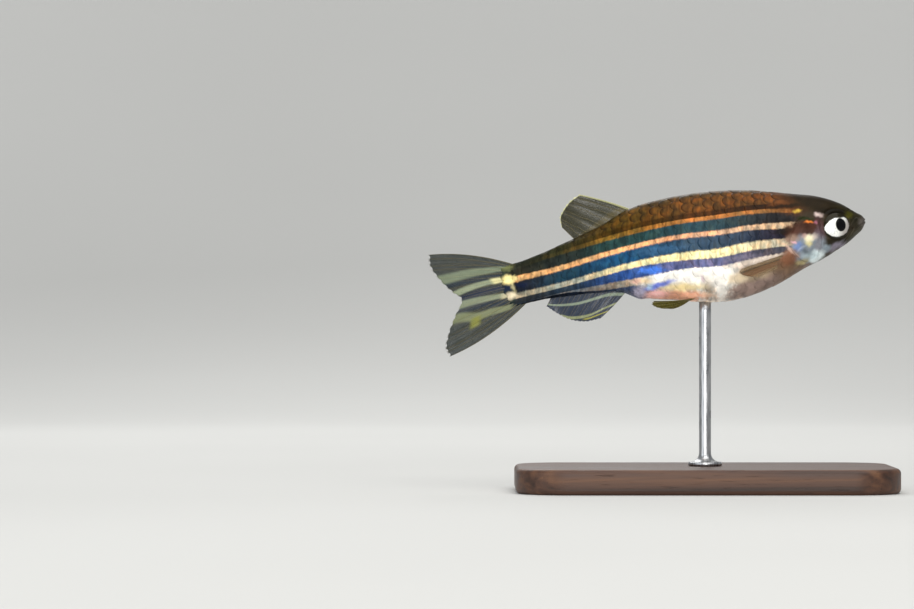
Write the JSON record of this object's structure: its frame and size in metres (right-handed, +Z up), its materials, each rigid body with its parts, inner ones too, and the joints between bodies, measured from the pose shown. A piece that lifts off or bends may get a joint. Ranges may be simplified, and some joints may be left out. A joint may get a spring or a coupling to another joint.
{
  "type": "zebra danio on a display stand",
  "caption": "Life-size adult zebra danio in a swimming pose, with striped flanks, spread fins and feelers, held up by one rod on a flat wooden base.",
  "frame": {"origin": "middle of the stand's underside, on the floor", "axes": "+X towards the snout, +Y towards the fish's left side, +Z up"},
  "size_m": [0.0466, 0.022, 0.0301],
  "materials": {
    "head_skin": "wet skin, brown-olive above and lavender-grey below",
    "gill_silver": "silvery, with a maroon-brown upper part",
    "flank_scales": "fine scales: brown back, dark blue and cream-gold stripes, silver-white belly",
    "eye": "silver-white iris, black pupil, glassy",
    "clear_fin": "translucent olive membrane with rays",
    "striped_fin": "translucent membrane with dark blue and pale greenish-yellow stripes",
    "stand_wood": "dark stained wood, satin",
    "stand_steel": "bright steel rod"
  },
  "bodies": {
    "root": {"head": "head_skin", "lower_jaw": "head_skin", "gill_cover_left": "gill_silver", "gill_cover_right": "gill_silver", "eye_left": "eye", "eye_right": "eye", "trunk": "flank_scales", "tail_stalk": "flank_scales", "dorsal_fin": "clear_fin", "anal_fin": "striped_fin", "tail_fin_upper_lobe": "striped_fin", "tail_fin_lower_lobe": "striped_fin", "pectoral_fin_left": "clear_fin", "pectoral_fin_right": "clear_fin", "pelvic_fin_left": "clear_fin", "pelvic_fin_right": "clear_fin", "stand_base": "stand_wood", "stand_rod": "stand_steel"}
  },
  "joints": []
}
